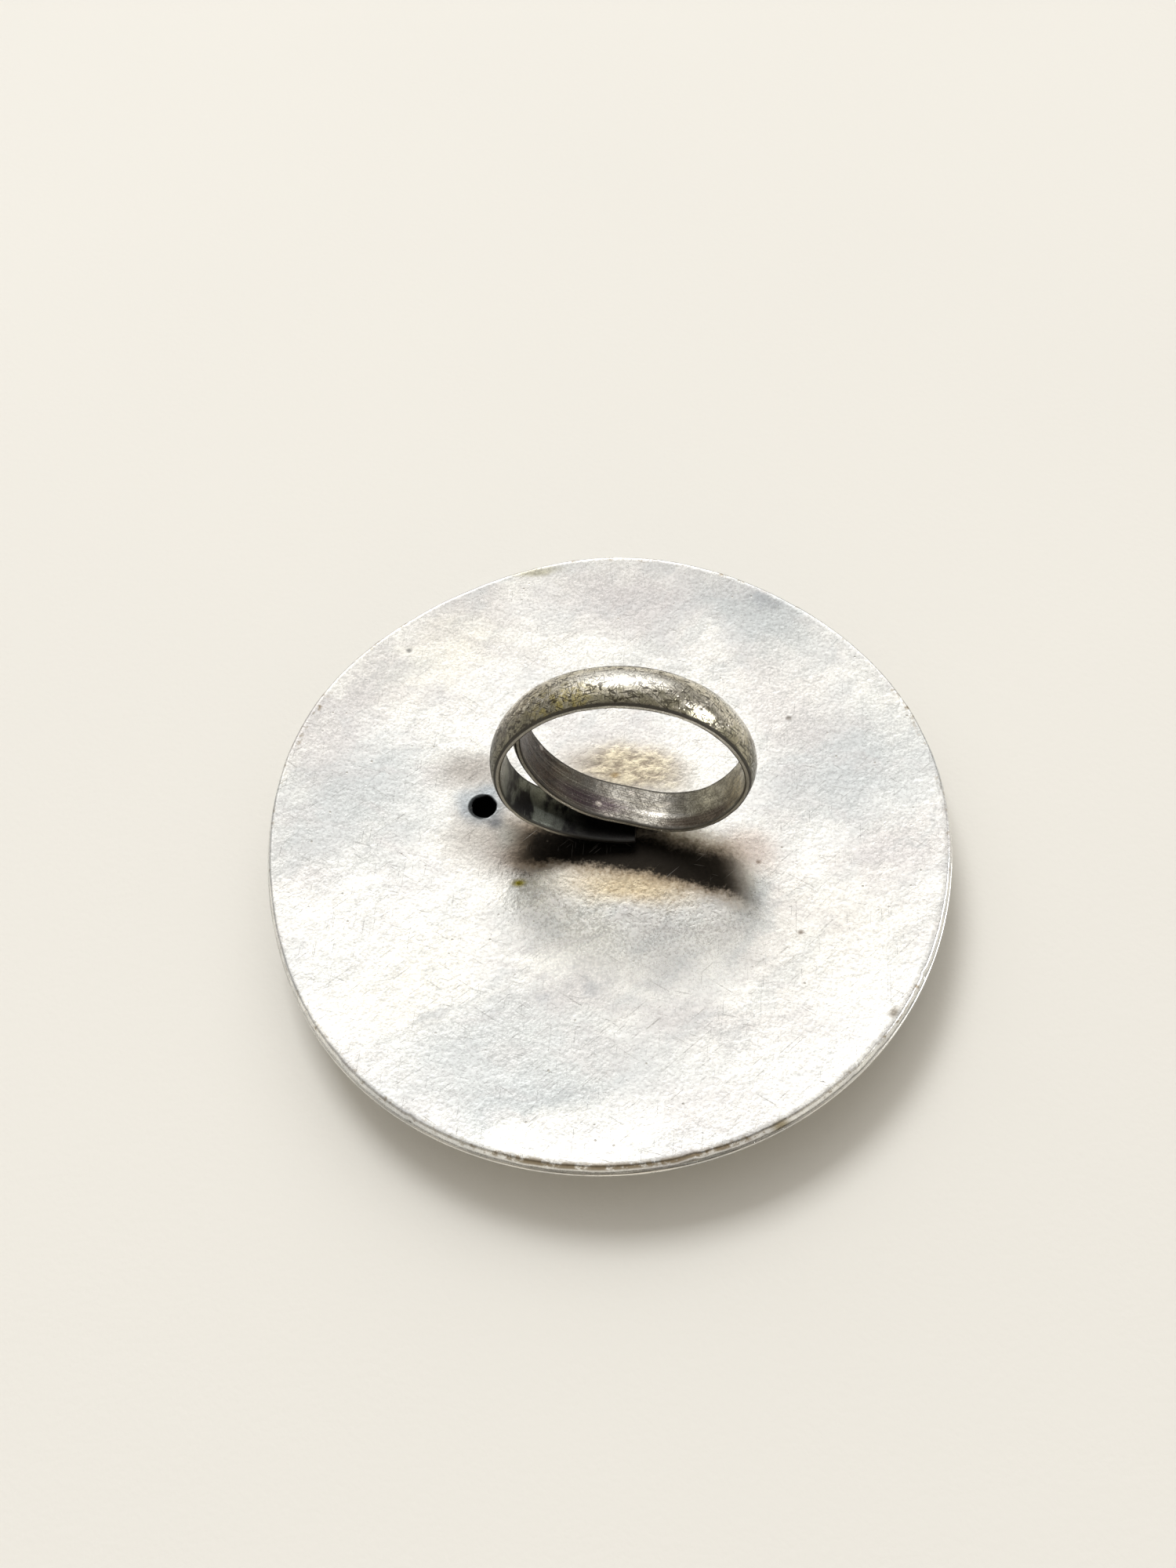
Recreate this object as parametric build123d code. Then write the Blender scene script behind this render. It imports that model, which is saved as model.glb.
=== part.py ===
from build123d import *
import os
from math import cos, radians, sin

# A large disc finger ring in sheet silver, lying on its face with the finger band standing up.
# Origin: under the middle of the disc, on the surface it lies on. +Z up, +X right, -Y towards the wearer.

# Head: a hollow disc made of a domed front shell closed by a dished back plate
HEAD_DIAMETER = 55.0
FACE_FLAT_DIAMETER = 14.0      # low spot of the dome, worn flat, that the ring lies on
SHELL_THICKNESS = 0.6
SHELL_LIP_TOP = 4.6            # height of the filed edge that the back plate is soldered to
SHELL_LIP_HEIGHT = 0.4
SHELL_LIP_WIDTH = 1.5

SEAM_THICKNESS = 0.15
SEAM_OUTER_RADIUS = 27.2
SEAM_INNER_RADIUS = 26.2

PLATE_DIAMETER = 54.4
PLATE_THICKNESS = 0.75
PLATE_DISH = 1.65              # how far the middle lies below the rim
PLATE_SEAT_RADIUS = 25.2       # the plate is flat underneath from here outwards
PLATE_TOP_EDGE_RADIUS = 0.25   # rounding of the plate's edge, above and below
PLATE_LOWER_EDGE_RADIUS = 0.15

VENT_DIAMETER = 2.0            # lets hot gas out of the hollow head while it is soldered
VENT_X = -9.55
VENT_Y = 3.8

# Band: one D-section strip wound to a ring, its last quarter lapping inside its first
BAND_WIDTH = 3.75
BAND_THICKNESS = 0.95
BAND_EDGE = 0.40               # thickness left at the strip's two edges
BAND_INNER_RADIUS = 9.05
BAND_CENTRE = (1.8, 0.5, 13.27)
BAND_TURN = -8.0               # degrees about +Z from facing straight forwards
BAND_LEAN = 7.9                # degrees that the crown leans away from the wearer
BAND_STEP = 7.0                # degrees between the sections that each leg is lofted through
CROWN_GAP = 0.03               # between the two halves of the strip, at the crown

# Each leg is given as (degrees from the crown, inner radius, drift along the band's axis)
FIXED_LEG = [
    (30, BAND_INNER_RADIUS, 0.0),
    (60, BAND_INNER_RADIUS, 0.0),
    (90, BAND_INNER_RADIUS, -0.2),
    (115, 9.0, -0.5),
    (140, 8.6, -0.85),
    (163, 8.35, -1.1),
    (185, 8.35, -1.2),
]
FREE_LEG = [
    (30, BAND_INNER_RADIUS, 0.0),
    (60, BAND_INNER_RADIUS, 0.0),
    (90, BAND_INNER_RADIUS, -0.15),
    (112, 8.55, -0.35),
    (135, 8.15, -0.8),
    (155, 7.9, -1.5),
    (176, 7.25, -2.1),
    (205, 7.0, -2.45),
    (230, 6.95, -2.6),
    (255, 7.1, -2.6),
    (275, 7.55, -2.55),
    (290, 8.0, -2.5),
]

# Solder that holds the foot of the fixed leg to the plate
SOLDER_LENGTH = 8.0
SOLDER_WIDTH = 3.2
SOLDER_HEIGHT = 0.45           # above the middle of the plate
SOLDER_ROOT = 0.3              # kept below the plate's surface before the plate is cut away

plate_rim_top = SHELL_LIP_TOP + SEAM_THICKNESS + PLATE_THICKNESS
plate_middle_top = plate_rim_top - PLATE_DISH


def front_shell():
    """The face: a low dome of even sheet with a flat spot below and a filed lip above."""
    rim = HEAD_DIAMETER / 2
    flat = FACE_FLAT_DIAMETER / 2
    lip_low = SHELL_LIP_TOP - SHELL_LIP_HEIGHT
    lip_inside = rim - SHELL_LIP_WIDTH
    outside = Curve() + [
        Line((0, 0), (flat, 0)),
        TangentArc((flat, 0), (rim, lip_low), tangent=(1, 0)),
        Line((rim, lip_low), (rim, SHELL_LIP_TOP)),
        Line((rim, SHELL_LIP_TOP), (lip_inside, SHELL_LIP_TOP)),
    ]
    inside = Curve() + [
        TangentArc((flat, SHELL_THICKNESS), (lip_inside, SHELL_LIP_TOP), tangent=(1, 0)),
        Line((flat, SHELL_THICKNESS), (0, SHELL_THICKNESS)),
        Line((0, SHELL_THICKNESS), (0, 0)),
    ]
    return turned(outside + inside)


def rim_solder_seam():
    """The thin ring of solder between the shell's lip and the back plate."""
    ring = Circle(SEAM_OUTER_RADIUS) - Circle(SEAM_INNER_RADIUS)
    return Pos(0, 0, SHELL_LIP_TOP) * extrude(ring, SEAM_THICKNESS)


def back_plate():
    """The back: a shallow dish with a rounded edge, seated flat on the seam, with one vent hole."""
    rim = PLATE_DIAMETER / 2
    seat = SHELL_LIP_TOP + SEAM_THICKNESS
    upper = PLATE_TOP_EDGE_RADIUS
    lower = PLATE_LOWER_EDGE_RADIUS
    outline = Curve() + [
        TangentArc((0, plate_middle_top), (rim - upper, plate_rim_top), tangent=(1, 0)),
        TangentArc((rim, plate_rim_top - upper), (rim - upper, plate_rim_top), tangent=(0, 1)),
        Line((rim, plate_rim_top - upper), (rim, seat + lower)),
        TangentArc((rim, seat + lower), (rim - lower, seat), tangent=(0, -1)),
        Line((rim - lower, seat), (PLATE_SEAT_RADIUS, seat)),
        TangentArc((0, plate_middle_top - PLATE_THICKNESS), (PLATE_SEAT_RADIUS, seat), tangent=(1, 0)),
        Line((0, plate_middle_top - PLATE_THICKNESS), (0, plate_middle_top)),
    ]
    vent = Pos(VENT_X, VENT_Y, plate_middle_top) * Cylinder(VENT_DIAMETER / 2, 4 * PLATE_THICKNESS)
    return turned(outline) - vent


def turned(outline):
    """A solid of revolution about +Z from a closed outline drawn as (radius, height)."""
    return revolve(Plane.XZ * make_face(outline), Axis.Z)


def band_plane():
    """The middle plane of the band: x to its right, y up through the crown, z along its axis."""
    turn = radians(BAND_TURN)
    lean = radians(BAND_LEAN)
    right = (cos(turn), sin(turn), 0)
    axis = (sin(turn) * cos(lean), -cos(turn) * cos(lean), sin(lean))
    return Plane(origin=BAND_CENTRE, x_dir=right, z_dir=axis)


def strip_section(from_crown, inner_radius, drift):
    """The strip's D section, flat side in, at an angle from the crown (positive to the left)."""
    angle = radians(90 + from_crown)
    outward = Vector(cos(angle), sin(angle), 0)
    along = Vector(-sin(angle), cos(angle), 0)
    half = BAND_WIDTH / 2
    profile = Curve() + [
        Line((0, -half), (0, half)),
        Line((0, half), (BAND_EDGE, half)),
        ThreePointArc((BAND_EDGE, half), (BAND_THICKNESS, 0), (BAND_EDGE, -half)),
        Line((BAND_EDGE, -half), (0, -half)),
    ]
    place = Plane(origin=outward * inner_radius + Vector(0, 0, drift), x_dir=outward, z_dir=along)
    return place * make_face(profile)


def band_leg(stations, side):
    """Half of the strip, lofted from the crown through its stations, on side +1 (left) or -1 (right)."""
    crown = (0, BAND_INNER_RADIUS, 0.0)
    route = Spline([crown] + stations)
    steps = round(stations[-1][0] / BAND_STEP)
    places = [route @ (step / steps) for step in range(steps + 1)]
    leg = loft([strip_section(side * place.X, place.Y, place.Z) for place in places])
    return band_plane() * (leg - crown_cut())


def crown_cut():
    """The sliver of room between the two halves of the strip."""
    return Pos(0, BAND_INNER_RADIUS, 0) * Box(CROWN_GAP, 4 * BAND_THICKNESS, 2 * BAND_WIDTH)


def foot_solder(fixed_leg, plate):
    """A long drop of solder under the foot, wetting the strip and the plate."""
    x, y, _ = BAND_CENTRE
    drop = Ellipse(SOLDER_LENGTH / 2, SOLDER_WIDTH / 2)
    pool = extrude(drop, SOLDER_HEIGHT + SOLDER_ROOT, taper=45)
    placed = Pos(x, y, plate_middle_top - SOLDER_ROOT) * Rot(0, 0, BAND_TURN) * pool
    return (placed - fixed_leg - plate).solids().sort_by(SortBy.VOLUME)[-1]


plate = back_plate()
fixed_leg = band_leg(FIXED_LEG, 1)
nodes = {
    "front_shell": front_shell(),
    "rim_solder_seam": rim_solder_seam(),
    "back_plate": plate,
    "band_fixed_leg": fixed_leg,
    "band_free_leg": band_leg(FREE_LEG, -1),
    "foot_solder": foot_solder(fixed_leg, plate),
}

os.makedirs("parts", exist_ok=True)
for name, solid in nodes.items():
    export_step(solid, f"parts/{name}.step")
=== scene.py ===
import math
import bmesh
import bpy
import numpy as np
from mathutils import Matrix, Vector


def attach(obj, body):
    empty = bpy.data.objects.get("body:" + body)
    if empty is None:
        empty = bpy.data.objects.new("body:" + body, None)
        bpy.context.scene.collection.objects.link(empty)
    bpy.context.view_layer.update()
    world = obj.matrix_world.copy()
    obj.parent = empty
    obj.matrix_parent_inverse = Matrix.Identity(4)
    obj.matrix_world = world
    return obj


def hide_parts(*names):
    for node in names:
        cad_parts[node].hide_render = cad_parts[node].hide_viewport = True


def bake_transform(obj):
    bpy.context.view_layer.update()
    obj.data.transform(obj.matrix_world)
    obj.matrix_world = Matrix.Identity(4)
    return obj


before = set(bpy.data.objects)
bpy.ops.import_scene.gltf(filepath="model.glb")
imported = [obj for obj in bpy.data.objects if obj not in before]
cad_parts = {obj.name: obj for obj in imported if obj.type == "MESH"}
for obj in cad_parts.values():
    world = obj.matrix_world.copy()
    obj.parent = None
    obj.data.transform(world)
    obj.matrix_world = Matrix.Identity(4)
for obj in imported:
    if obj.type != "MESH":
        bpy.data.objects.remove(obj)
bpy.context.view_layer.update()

MM = 0.001

# Sizes in millimetres, as in the CAD frame: +Z up, the disc's middle over the origin
SHELL_RADIUS = 27.43
SHELL_THICKNESS = 0.6
SHELL_FLAT_RADIUS = 7.0
SHELL_LIP_LOW = 4.2
SHELL_LIP_TOP = 4.6
SHELL_LIP_INSIDE = 26.0
SEAM_RADIUS = 26.75
PLATE_RADIUS = 27.32
PLATE_THICKNESS = 0.75
PLATE_RIM_TOP = 5.5
PLATE_MIDDLE_TOP = 3.85
PLATE_EDGE_ROUNDING = 0.25
PLATE_EDGE_WIDTH = 0.42        # the edge seen from above: its rounding and the filed slope below it
RIM_UPTURN = 0.10              # how much of the dish's depth is in its last few millimetres
VENT = (-9.55, 3.8)
VENT_RADIUS = 1.0
VENT_WALL = (0.5, 0.28, 0.14, 0.06)        # depths of the rows down the wall of the hole
VENT_BURR = ((0.0, -0.03), (0.02, -0.01), (0.06, 0.01), (0.12, 0.018), (0.19, 0.012))   # outwards, up

BAND_WIDTH = 3.75
BAND_THICKNESS = 0.95
BAND_EDGE = 0.40
BAND_CORNER = 0.14             # rounding of the strip's inner corners
BAND_CENTRE = np.array((1.8, 0.5, 13.27))
BAND_TURN = math.radians(-8.0)
BAND_LEAN = math.radians(7.9)
# The strip from the foot, over the crown at 0, to the tail: degrees left of the crown, inner radius, drift
STRIP = [
    (185, 8.35, -1.2), (163, 8.35, -1.1), (140, 8.6, -0.85), (115, 9.0, -0.5), (90, 9.05, -0.2),
    (60, 9.05, 0.0), (30, 9.05, 0.0), (0, 9.05, 0.0), (-30, 9.05, 0.0), (-60, 9.05, 0.0),
    (-90, 9.05, -0.15), (-112, 8.55, -0.35), (-135, 8.15, -0.8), (-155, 7.9, -1.5), (-176, 7.25, -2.1),
    (-205, 7.0, -2.45), (-230, 6.95, -2.6), (-255, 7.1, -2.6), (-275, 7.55, -2.55), (-290, 8.0, -2.5),
]
STRIP_ROWS = 761
CROWN_HALF = 15.0              # degrees each side of the crown that the crown piece takes

# Solder under the foot
PUDDLE_HALF_LENGTH = 3.9
PUDDLE_HALF_WIDTH = 1.75
PUDDLE_HEIGHT = 0.42
PUDDLE_SKIRT = 0.2             # how far its edge goes down into the plate

# How far the hand-cut disc strays from a circle: waves round it, size of each, degrees at its peak
OUTLINE_WAVES = [(3, 0.08, 61), (4, 0.09, -123), (5, 0.14, 42), (6, 0.06, 146)]
RIM_ARC = 27.0                 # radius that noise along the rim is measured on
HAMMER_BLOWS = 330
BLOW_RADIUS = 1.9
BLOW_DEPTH = (0.028, 0.050)
VISUAL_CLEARANCE = 0.010       # keeps the band's dents and bumps inside the CAD's strip


# ---------------------------------------------------------------- numbers

def value_noise(x, y, size, seed):
    """Smooth noise from -1 to 1 whose bumps are about size across."""
    grid = np.random.default_rng(seed).uniform(-1, 1, (257, 257))
    u = np.asarray(x) / size + 1000.37
    v = np.asarray(y) / size + 1000.71
    i, j = np.floor(u).astype(int), np.floor(v).astype(int)
    f, g = u - i, v - j
    f, g = f * f * (3 - 2 * f), g * g * (3 - 2 * g)
    i0, i1, j0, j1 = i % 256, (i + 1) % 256, j % 256, (j + 1) % 256
    low = grid[i0, j0] * (1 - f) + grid[i1, j0] * f
    high = grid[i0, j1] * (1 - f) + grid[i1, j1] * f
    return low * (1 - g) + high * g


def cloud(x, y, size, seed, octaves=3):
    """Several octaves of noise, each turned against the last so that no grid shows."""
    total, weight = 0.0, 0.0
    for octave in range(octaves):
        turn = 0.7 + 1.9 * octave
        u = x * math.cos(turn) - y * math.sin(turn)
        v = x * math.sin(turn) + y * math.cos(turn)
        share = 0.5 ** octave
        total = total + share * value_noise(u, v, size * share, seed + octave)
        weight += share
    return total / weight


def smoothstep(low, high, x):
    t = np.clip((x - low) / (high - low), 0, 1)
    return t * t * (3 - 2 * t)


def outline(angle):
    """How far the hand-cut disc strays from a circle, by angle."""
    return sum(size * np.cos(count * angle - math.radians(phase)) for count, size, phase in OUTLINE_WAVES)


def rim_noise(angle, size, seed, lane=0.0):
    """Noise along the rim, whose bumps are about size millimetres long. Each lane is different."""
    return value_noise(angle * RIM_ARC, angle * 0 + lane, size, seed)


def circle_angles(columns):
    return np.linspace(0, 2 * math.pi, columns, endpoint=False)


def hermite(x, xs, ys):
    """A smooth curve through the points (xs, ys), xs rising."""
    xs, ys = np.array(xs, float), np.array(ys, float)
    slope = np.gradient(ys, xs)
    k = np.clip(np.searchsorted(xs, x) - 1, 0, len(xs) - 2)
    step = xs[k + 1] - xs[k]
    t = (x - xs[k]) / step
    return ((2 * t**3 - 3 * t**2 + 1) * ys[k] + (t**3 - 2 * t**2 + t) * step * slope[k]
            + (3 * t**2 - 2 * t**3) * ys[k + 1] + (t**3 - t**2) * step * slope[k + 1])


# ---------------------------------------------------------------- meshes

def grid_faces(rows, columns, wrap_rows):
    """Quads of a grid whose columns close round, and whose last row also meets its first if wrap_rows."""
    r, c = np.meshgrid(np.arange(rows if wrap_rows else rows - 1), np.arange(columns), indexing="ij")
    r1, c1 = (r + 1) % rows, (c + 1) % columns
    corners = [r * columns + c, r * columns + c1, r1 * columns + c1, r1 * columns + c]
    return np.stack(corners, -1).reshape(-1, 4)


def make_mesh(name, points, faces, extra=()):
    """A mesh object from points in millimetres, smooth quads, and any extra polygons, which stay flat."""
    mesh = bpy.data.meshes.new(name)
    polygons = [tuple(int(i) for i in face) for group in (faces, extra) for face in group]
    mesh.from_pydata((np.asarray(points).reshape(-1, 3) * MM).tolist(), [], polygons)
    mesh.update()
    mesh.polygons.foreach_set("use_smooth", np.arange(len(polygons)) < len(faces))
    obj = bpy.data.objects.new(name, mesh)
    bpy.context.scene.collection.objects.link(obj)
    return obj


def face_out(obj):
    """Turns a closed mesh's faces outwards."""
    work = bmesh.new()
    work.from_mesh(obj.data)
    if work.calc_volume(signed=True) < 0:
        bmesh.ops.reverse_faces(work, faces=work.faces)
        work.to_mesh(obj.data)
    work.free()


def store(obj, name, values):
    """Keeps three numbers for each point, for the materials to read."""
    attribute = obj.data.attributes.new(name, "FLOAT_VECTOR", "POINT")
    attribute.data.foreach_set("vector", np.asarray(values, np.float32).ravel())


def grid_normals(points, core):
    """Normals, facing away from the core line, of a tube whose rows run along and whose columns run round."""
    along = np.gradient(points, axis=0)
    around = np.roll(points, -1, 1) - np.roll(points, 1, 1)
    normals = np.cross(around, along)
    normals /= np.maximum(np.linalg.norm(normals, axis=-1, keepdims=True), 1e-12)
    facing = (normals * (points - core[:, None])).sum(-1)
    return normals * np.sign(facing.mean())


def caps(rows, columns):
    """The two polygons that close a tube's first and last rows."""
    last = (rows - 1) * columns
    return [range(columns - 1, -1, -1), range(last, last + columns)]


# ---------------------------------------------------------------- the head

def plate_height(x, y):
    """The dished back, a little uneven, as hand-raised sheet is."""
    r = np.hypot(x, y)
    share = r / (PLATE_RADIUS - PLATE_EDGE_WIDTH)
    dish = (PLATE_RIM_TOP - PLATE_MIDDLE_TOP - RIM_UPTURN) * share**2 + RIM_UPTURN * share**10
    waves = 0.030 * cloud(x, y, 9.0, 11, 2) + 0.007 * cloud(x, y, 2.6, 17, 2)
    return PLATE_MIDDLE_TOP + dish + waves * smoothstep(2.0, 6.0, r)


def back_plate():
    """The dished disc: a ring of quads from the vent hole out to the rounded rim and back underneath."""
    columns = 420
    angle = circle_angles(columns)
    direction = np.stack([np.cos(angle), np.sin(angle)], -1)
    ragged = VENT_RADIUS + 0.05 * value_noise(angle * 3, angle * 0, 1.0, 5) + 0.03 * np.cos(5 * angle)
    near_side = smoothstep(0.2, 0.75, -np.sin(angle))
    edge_wear = (0.02 * rim_noise(angle, 1.0, 8)
                 + 0.36 * near_side * np.clip(rim_noise(angle, 0.75, 9, 9) - 0.35, 0, 1)
                 + 0.10 * np.clip(rim_noise(angle, 1.9, 10, 5) - 0.55, 0, 1))
    rim = PLATE_RADIUS + outline(angle) - edge_wear
    inner = rim - PLATE_EDGE_WIDTH

    def between(share, hole_growth=0.0):
        """Points a share of the way from the vent's edge, grown a little, to the rim."""
        hole = np.array(VENT) + (ragged + hole_growth)[:, None] * direction
        return (1 - share) * hole + share * inner[:, None] * direction

    rows = []

    def row(xy, z):
        rows.append(np.column_stack([xy, np.broadcast_to(z, (columns,))]))

    # Up the wall of the vent and over its burr
    hole_top = plate_height(*between(0.0).T)
    for drop in VENT_WALL:
        row(between(0.0, 0.01), hole_top - drop)
    for growth, lift in VENT_BURR:
        burr = lift * (0.7 + 0.6 * value_noise(angle * 4, angle * 0, 1.0, 6))
        row(between(0.0, growth), plate_height(*between(0.0, growth).T) + burr)

    # Across the dish, round the rim and back underneath
    for share in np.concatenate([np.linspace(0.011, 0.09, 14), np.linspace(0.1, 1.0, 96)]):
        growth = 0.25 * (1 - share)
        xy = between(share, growth)
        row(xy, plate_height(*xy.T))
    rim_top = rows[-1][:, 2]
    for turn in np.radians((12, 24, 36, 48, 60, 70)):
        reach = inner + PLATE_EDGE_ROUNDING * math.sin(turn)
        row(reach[:, None] * direction, rim_top - PLATE_EDGE_ROUNDING * (1 - math.cos(turn)))
    seat = PLATE_RIM_TOP - PLATE_THICKNESS
    row((rim - 0.09)[:, None] * direction, seat + 0.33)
    row(rim[:, None] * direction, seat + 0.08)
    row((rim - 0.10)[:, None] * direction, seat)
    for share in np.linspace(0.95, 0.0, 14):
        xy = between(share, 0.01)
        row(xy, np.minimum(plate_height(*xy.T) - PLATE_THICKNESS, seat))
    obj = make_mesh("plate", np.array(rows), grid_faces(len(rows), columns, True))
    face_out(obj)
    obj.data.materials.append(back_silver())
    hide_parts("back_plate")
    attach(obj, "head")


def planish(x, y):
    """Shallow overlapping hammer marks: each point takes the nearest blow's dish."""
    rng = np.random.default_rng(41)
    blow = np.arange(HAMMER_BLOWS)
    reach = SHELL_RADIUS * np.sqrt((blow + 0.5) / HAMMER_BLOWS)
    spin = blow * math.pi * (3 - math.sqrt(5))
    blows = np.column_stack([reach * np.cos(spin), reach * np.sin(spin)])
    blows += rng.normal(0, 0.35, (HAMMER_BLOWS, 2))
    depth = rng.uniform(*BLOW_DEPTH, HAMMER_BLOWS)
    flat = np.column_stack([x.ravel(), y.ravel()])
    distance = np.linalg.norm(flat[:, None, :] - blows[None], axis=-1)
    nearest = distance.argmin(1)
    mark = depth[nearest] * (1 - (distance[np.arange(len(flat)), nearest] / BLOW_RADIUS) ** 2)
    return np.maximum(mark, 0).reshape(x.shape)


def dome(radius, reach, rise, flat):
    """Height of a shallow dome at a radius: a circle's arc that starts level at the edge of a flat."""
    run = reach - flat
    arc = (run**2 + rise**2) / (2 * rise)
    past = np.clip(radius - flat, 0, None)
    return arc - np.sqrt(arc**2 - past**2)


def front_shell():
    """The hollow face: outside dome with hammer marks, filed lip, and the dark inside."""
    columns = 360
    angle = circle_angles(columns)
    stray = outline(angle)
    rows = []

    def row(radius, z, follow):
        """A ring of points that follows the outline's stray by a share."""
        reach = radius + follow * stray
        height = np.broadcast_to(z(reach) if callable(z) else z, (columns,))
        rows.append(np.column_stack([reach * np.cos(angle), reach * np.sin(angle), height]))

    def outside(reach):
        x, y = reach * np.cos(angle), reach * np.sin(angle)
        smooth = dome(reach, SHELL_RADIUS, SHELL_LIP_LOW, SHELL_FLAT_RADIUS)
        return smooth + planish(x, y) * smoothstep(5.5, 8.5, reach) * smoothstep(27.4, 26.2, reach)

    def inside(reach):
        rise = SHELL_LIP_TOP - SHELL_THICKNESS
        return SHELL_THICKNESS + dome(reach, SHELL_LIP_INSIDE, rise, SHELL_FLAT_RADIUS)

    for radius in np.concatenate([[0.4], np.linspace(1.2, SHELL_RADIUS - 0.15, 92)]):
        row(radius, outside, (radius / SHELL_RADIUS) ** 4)
    lip_wear = 0.03 * rim_noise(angle, 1.3, 21)
    row(SHELL_RADIUS - 0.03, SHELL_LIP_LOW + 0.03, 1.0)
    row(SHELL_RADIUS, SHELL_LIP_LOW + 0.12, 1.0)
    row(SHELL_RADIUS - 0.01, SHELL_LIP_TOP - 0.08 + lip_wear, 1.0)
    row(SHELL_RADIUS - 0.07, SHELL_LIP_TOP - 0.01 + lip_wear, 1.0)
    lip_rows = len(rows)
    row(SHELL_RADIUS - 0.20, SHELL_LIP_TOP, 1.0)
    row(SHELL_LIP_INSIDE + 0.1, SHELL_LIP_TOP, 0.5)
    row(SHELL_LIP_INSIDE, SHELL_LIP_TOP - 0.08, 0.3)
    for radius in np.linspace(SHELL_LIP_INSIDE - 0.8, 0.8, 24):
        row(radius, inside, 0.0)
    faces = grid_faces(len(rows), columns, False)[:, ::-1]
    ends = [cap[::-1] for cap in caps(len(rows), columns)]
    obj = make_mesh("face_shell", np.array(rows), faces, ends)
    face_out(obj)
    obj.data.materials.append(face_silver())
    obj.data.materials.append(oxide())
    slots = np.zeros(len(obj.data.polygons), np.int32)
    slots[(lip_rows + 1) * columns:len(faces)] = 1
    slots[-1] = 1
    obj.data.polygons.foreach_set("material_index", slots)
    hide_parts("front_shell")
    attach(obj, "head")


def solder_seam():
    """The squeezed-out line of solder between plate and shell, lumpy where it ran."""
    columns, around = 900, 12
    angle = circle_angles(columns)
    lump = rim_noise(angle, 0.8, 31)
    blob = np.clip(rim_noise(angle, 3.5, 33) - 0.25, 0, 1)
    near_side = smoothstep(0.1, 0.8, -np.sin(angle))
    middle = SEAM_RADIUS + outline(angle)
    half_width = 0.43 + 0.03 * lump + 0.12 * blob * near_side
    half_height = 0.09 + 0.02 * lump + 0.05 * blob * near_side
    level = (SHELL_LIP_TOP + PLATE_RIM_TOP - PLATE_THICKNESS) / 2
    turn = circle_angles(around)
    reach = middle[:, None] + half_width[:, None] * np.cos(turn)
    z = level + half_height[:, None] * np.sin(turn)
    points = np.stack([reach * np.cos(angle)[:, None], reach * np.sin(angle)[:, None], z], -1)
    obj = make_mesh("rim_solder", points, grid_faces(columns, around, True))
    face_out(obj)
    obj.data.materials.append(dark_solder("seam_solder", (0.13, 0.105, 0.065), (0.52, 0.47, 0.36)))
    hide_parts("rim_solder_seam")
    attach(obj, "head")


# ---------------------------------------------------------------- the band

def band_axes():
    """The band's own directions: to its right, up through the crown, and along its axis to the viewer."""
    right = np.array((math.cos(BAND_TURN), math.sin(BAND_TURN), 0.0))
    level = math.cos(BAND_LEAN)
    axis = np.array((math.sin(BAND_TURN) * level, -math.cos(BAND_TURN) * level, math.sin(BAND_LEAN)))
    return right, np.cross(axis, right), axis


def strip_profile():
    """The D section as (outwards, along the axis, side), round its outline.

    Side is 0 inside and 1 outside, and rises in steps over the inner corner and the edge's flat between them.
    """
    half = BAND_WIDTH / 2
    soft = BAND_CORNER
    rise = BAND_THICKNESS - BAND_EDGE
    arc = (half**2 + rise**2) / (2 * rise)
    spread = math.asin(half / arc)
    points = [(0.0, a, 0.0) for a in np.linspace(-half + soft, half - soft, 18)]
    corner = [(soft * (1 - math.cos(t)), half - soft * (1 - math.sin(t)), 0.06 + 0.08 * k)
              for k, t in enumerate(np.radians((22, 45, 68, 90)))]
    edge = [(0.22, half, 0.45), (0.31, half, 0.65), (0.36, half, 0.8)]
    points += corner
    points += edge
    for t in np.linspace(spread, -spread, 30)[1:-1]:
        points.append((BAND_EDGE + arc * math.cos(t) - (arc - rise), arc * math.sin(t), 1.0))
    points += [(out, -across, side) for out, across, side in reversed(corner + edge)]
    return np.array(points)


def strip_surface():
    """The whole strip as a grid of points, its normals, and (along, across, side) for each point."""
    right, up, axis = band_axes()
    known = np.array(STRIP[::-1], float)
    degrees = np.linspace(known[0, 0], known[-1, 0], STRIP_ROWS)
    radius = hermite(degrees, known[:, 0], known[:, 1])
    drift = hermite(degrees, known[:, 0], known[:, 2])
    turn = np.radians(90 + degrees)
    outward = np.cos(turn)[:, None] * right + np.sin(turn)[:, None] * up
    middle = BAND_CENTRE + radius[:, None] * outward + drift[:, None] * axis
    profile = strip_profile()
    points = middle[:, None] + profile[None, :, 0:1] * outward[:, None] + profile[None, :, 1:2] * axis
    step = np.linalg.norm(np.diff(middle, axis=0), axis=1)
    length = np.concatenate([[0], np.cumsum(step)])
    length -= np.interp(0.0, degrees, length)
    across = np.broadcast_to(profile[:, 1], points.shape[:2])
    along = np.broadcast_to(length[:, None], points.shape[:2])
    side = np.broadcast_to(profile[:, 2], points.shape[:2])
    lane = across + 40 * side      # keeps the inside's marks apart from the outside's
    dents = 0.020 * cloud(along, lane, 2.2, 51, 2) + 0.008 * cloud(along, lane, 0.7, 57, 2)
    pits = 0.030 * np.clip(value_noise(along, lane, 0.42, 61) - 0.62, 0, 1)
    edge = np.exp(-((np.abs(across) - BAND_WIDTH / 2) / 0.22) ** 2)
    nicks = 0.045 * edge * np.clip(value_noise(along, np.sign(across) * 5, 0.8, 67) - 0.2, 0, 1)
    core = middle + BAND_EDGE * outward
    lift = dents - pits - nicks - VISUAL_CLEARANCE
    points = points + grid_normals(points, core) * lift[..., None]
    return degrees, points, grid_normals(points, core), np.stack([along, across, side], -1)


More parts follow.
